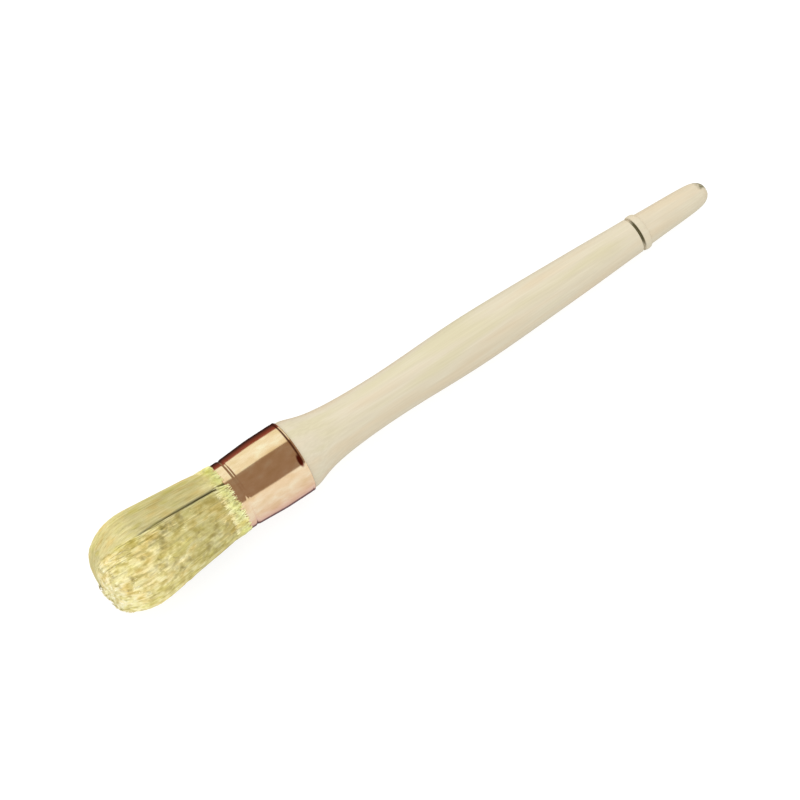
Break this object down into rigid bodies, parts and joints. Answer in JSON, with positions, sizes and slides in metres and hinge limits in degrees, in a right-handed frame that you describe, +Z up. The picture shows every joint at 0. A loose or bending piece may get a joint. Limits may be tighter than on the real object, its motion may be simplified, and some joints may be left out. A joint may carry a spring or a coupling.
{
  "type": "shoe polish dauber",
  "caption": "Round bristle brush for dabbing on shoe polish: domed pale tuft, copper-coloured ferrule and a turned wood handle with a grooved slim tail.",
  "frame": {"origin": "on the table, under the middle of the brush as it lies", "axes": "+X along the brush from the tuft to the tail, +Z up from the table, +Y to the far side"},
  "size_m": [0.2362, 0.0312, 0.0308],
  "materials": {
    "handle_wood": "satin",
    "ferrule_copper": "polished",
    "bristle": "matte",
    "resin": "gloss",
    "plug_wood": "matte",
    "tack_steel": "satin"
  },
  "bodies": {
    "root": {"handle": "handle_wood", "ferrule": "ferrule_copper", "bristles": "bristle", "resin_setting": "resin", "centre_plug": "plug_wood", "ferrule_tacks": "tack_steel"}
  },
  "joints": []
}
